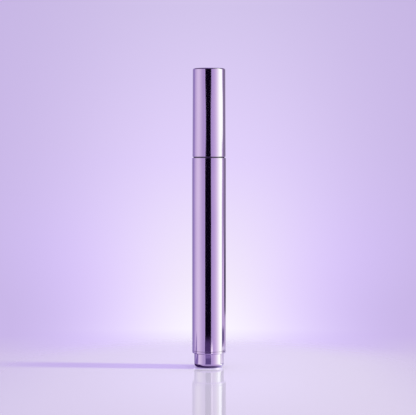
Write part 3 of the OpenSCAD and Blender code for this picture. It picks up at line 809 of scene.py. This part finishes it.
def distance(tree, x, y):
    """Length of the vector (x, y)."""
    return figure(tree, "SQRT", figure(tree, "ADD", product(tree, x, x), product(tree, y, y)))


bpy.ops.mesh.primitive_circle_add(vertices=96, radius=0.3, fill_type="NGON", location=(0, 0, 0))
table = bpy.context.object
table.name = "table"
glossy_top = bpy.data.materials.new("glossy_table")
top = emptied(glossy_top)
where = wire(top, "ShaderNodeTexCoord").outputs["Object"]
spot = wire(top, "ShaderNodeSeparateXYZ", Vector=where).outputs
across, depth = (product(top, spot[axis], 1 / MM) for axis in ("X", "Y"))
reach = distance(top, across, depth)
turn = around(top, across, depth)
paths = wire(top, "ShaderNodeLightPath").outputs

# Its paint is palest in a painted pool of light round the pen, under a clear gloss
painted_light_pool = glow(top, distance(top, across, product(top, depth, 0.4)), 0.0, 55.0)
paint = blended(top, painted_light_pool, screen("d9c8ea"), screen("e6d4ff"))
matt = wire(top, "ShaderNodeBsdfDiffuse", Color=paint)
gloss = wire(top, "ShaderNodeBsdfAnisotropic", Color=(1, 1, 1, 1), Roughness=0.003)
polish = product(top, wire(top, "ShaderNodeFresnel", IOR=1.45).outputs[0], 0.73)
surface = wire(
    top, "ShaderNodeMixShader", Fac=polish, in1=matt.outputs[0], in2=gloss.outputs[0]
)

# Painted light: a glow on the table in front of the foot stands for the light that the
# button's edge throws on it, and lifts the shade under that edge; it is weighted as the gloss
# is. It counts in full at the camera's low angle, where the gloss is one over full_gloss, and
# less where the table is seen steeply.
full_gloss = 2.89
painted_glow_share = product(
    top,
    spread(top, depth, -1.0, -4.0),
    spread(top, reach, 13.0, 8.0),
    within(top, across, -6.2, 4.6, 1.2, 2.0),
    polish,
    paths["Is Camera Ray"],
    full_gloss,
)
painted_fill_light = blended(top, glow(top, across, 4.0, 1.0), (0.20, 0.17, 0.25, 1), (0.50, 0.46, 0.48, 1))
painted_fill_light = blended(top, painted_glow_share, (0, 0, 0, 1), painted_fill_light)
painted_foot_glow = wire(top, "ShaderNodeEmission", Color=painted_fill_light)
filled = wire(top, "ShaderNodeAddShader", in0=surface.outputs[0], in1=painted_foot_glow.outputs[0])
clear = wire(top, "ShaderNodeBsdfTransparent")
far_off = distance(top, across, figure(top, "MAXIMUM", depth, 0.0))
from_above = without(top, wire(top, "ShaderNodeNewGeometry").outputs["Backfacing"])
there = product(
    top, spread(top, far_off, 120.0, 60.0), spread(top, reach, 290.0, 190.0), from_above
)
laid = wire(
    top, "ShaderNodeMixShader", Fac=there, in1=clear.outputs[0], in2=filled.outputs[0]
)

# Painted reflections: glossy rays see the table not lit but as emitted layers, one over the
# other, each a share and a light, which the metal mirrors. First the panels' painted image
# near the foot, and a painted pale patch at the right back that dims past the side
near = spread(top, reach, 22.0, 17.0)
right_back = product(
    top, within(top, turn, 92.0, 165.0, 4.0, 15.0), spread(top, reach, 95.0, 75.0)
)
past_side = spread(top, turn, 92.0, 140.0, smooth=False)
right_light = blended(top, past_side, (1.30, 1.50, 1.08, 1), (0.72, 0.70, 0.80, 1))
right_light = blended(top, spread(top, reach, 24.0, 13.0), right_light, (0.60, 0.58, 0.74, 1))

# A painted dark wedge that narrows towards the pen, and a small painted dark patch nearer than it
wedge_end = figure(top, "MINIMUM", figure(top, "MULTIPLY_ADD", reach, 0.8, 35.0), 124.0)
wedge = product(
    top,
    spread(top, figure(top, "SUBTRACT", turn, wedge_end), 4.0, -4.0),
    spread(top, turn, 97.0, 101.0),
    within(top, reach, 88.0, 150.0, 8.0, 40.0),
)
patch = product(
    top, within(top, turn, 102.0, 118.0, 9.0, 24.0), within(top, reach, 62.5, 67.0, 4.0, 6.0)
)
wedge_light = (0.20, 0.16, 0.28, 1)

# A painted shadow band on the left, for the metal to mirror
band = product(
    top,
    within(top, depth, -0.6, 9.4, 4.0, 4.0),
    spread(top, across, -6.0, -14.0),
    spread(top, reach, 170.0, 110.0),
)

# The flag's painted image in front, darker further out, with a painted glint beside it
front = product(top, turn, spread(top, reach, 50.0, 44.0, 1.0, 1.1))
front = product(
    top,
    within(top, front, -25.0, 11.0, 4.0, 3.0),
    spread(top, reach, 135.0, 105.0),
    without(top, near),
)
further = spread(top, reach, 41.0, 47.0)
front_light = blended(top, further, (0.16, 0.12, 0.26, 1), (0.32, 0.25, 0.44, 1))
front_light = blended(top, spread(top, reach, 56.0, 59.0), front_light, (0.096, 0.059, 0.151, 1))
glint = product(
    top, within(top, turn, 13.5, 23.0, 1.5, 4.0), within(top, reach, 62.0, 70.0, 4.0, 50.0)
)

# Painted shade where the foot meets the table, for the metal to mirror: deep on the left,
# lighter on the right and under it
shade = product(
    top,
    spread(top, depth, -7.3, -6.0),
    spread(top, across, 1.2, -0.8),
    spread(top, reach, 13.5, 10.5),
    spread(top, turn, -180.0, -150.0),
)
foot_dark = (0.05, 0.025, 0.09, 1)
contact = spread(top, reach, 9.0, 6.4, 0.0, 0.92)
contact_right = within(top, turn, 85.0, 125.0, 70.0, 50.0)
contact_light = blended(top, contact_right, foot_dark, (0.62, 0.60, 0.86, 1))
under_foot = spread(top, reach, 6.0, 5.0, 0.0, 0.8)
contact_light = blended(top, under_foot, contact_light, (0.40, 0.36, 0.52, 1))

look = (0, 0, 0, 1)
through = 1.0
for share, light in (
    (near, panels(top, turn)),
    (right_back, right_light),
    (wedge, wedge_light),
    (patch, wedge_light),
    (band, (0.33, 0.26, 0.47, 1)),
    (front, front_light),
    (glint, (1.55, 1.6, 1.3, 1)),
    (shade, foot_dark),
    (contact, contact_light),
):
    look = blended(top, share, look, light)
    through = product(top, through, without(top, share))
window = wire(top, "ShaderNodeBsdfTransparent", Color=through)
image = wire(top, "ShaderNodeEmission", Color=look)
mirror = wire(top, "ShaderNodeAddShader", in0=window.outputs[0], in1=image.outputs[0])
either = wire(
    top,
    "ShaderNodeMixShader",
    Fac=paths["Is Glossy Ray"],
    in1=laid.outputs[0],
    in2=mirror.outputs[0],
)
wire(top, "ShaderNodeOutputMaterial", Surface=either.outputs[0])
coated(table, glossy_top)

# Light and camera
#
# A hard light from high on the right, and the photograph's camera, which looks
# slightly down from about the height of the line under the cap.


def lamp(name, colour, on_table, bearing, rise, away, size, watts):
    """Square area light, a distance away from a point 30 mm up the pen at a bearing and rise
    in degrees, which lights the table alone or all but the table."""
    light = bpy.data.lights.new(name, "AREA")
    light.size, light.energy, light.color = size, watts, colour
    made = bpy.data.objects.new(name, light)
    side, up = math.radians(bearing), math.radians(rise)
    level = math.cos(up)
    back = np.array([math.sin(side) * level, -math.cos(side) * level, math.sin(up)])
    made.location = back * away + np.array([0, 0, 30 * MM])
    made.rotation_euler = (math.pi / 2 - up, 0, side)
    made.visible_glossy = False
    receivers = bpy.data.collections.new(name)
    receivers.objects.link(table)
    if not on_table:
        receivers.collection_objects[0].light_linking.link_state = "EXCLUDE"
    made.light_linking.receiver_collection = receivers
    bpy.context.scene.collection.objects.link(made)


# It is one light in two: tinted where it falls on the table, for a violet shadow
hard = {"bearing": 84, "rise": 57, "away": 0.9, "size": 0.05, "watts": 3.1}
lamp("side_light", (1.0, 1.5, 0.16), on_table=True, **hard)
lamp("pen_light", (1.0, 0.98, 0.94), on_table=False, **hard)

pitch_down = 1.697
lens = bpy.data.cameras.new("photograph")
lens.sensor_width = 36.0
lens.lens = 136.3
lens.clip_start, lens.clip_end = 0.01, 20.0
camera = bpy.data.objects.new("photograph", lens)
camera.location = (-0.00045, -0.701, 0.092)
camera.rotation_euler = (math.radians(90 - pitch_down), 0, 0)
bpy.context.scene.collection.objects.link(camera)
bpy.context.scene.camera = camera
bpy.context.scene.view_settings.view_transform = "Standard"
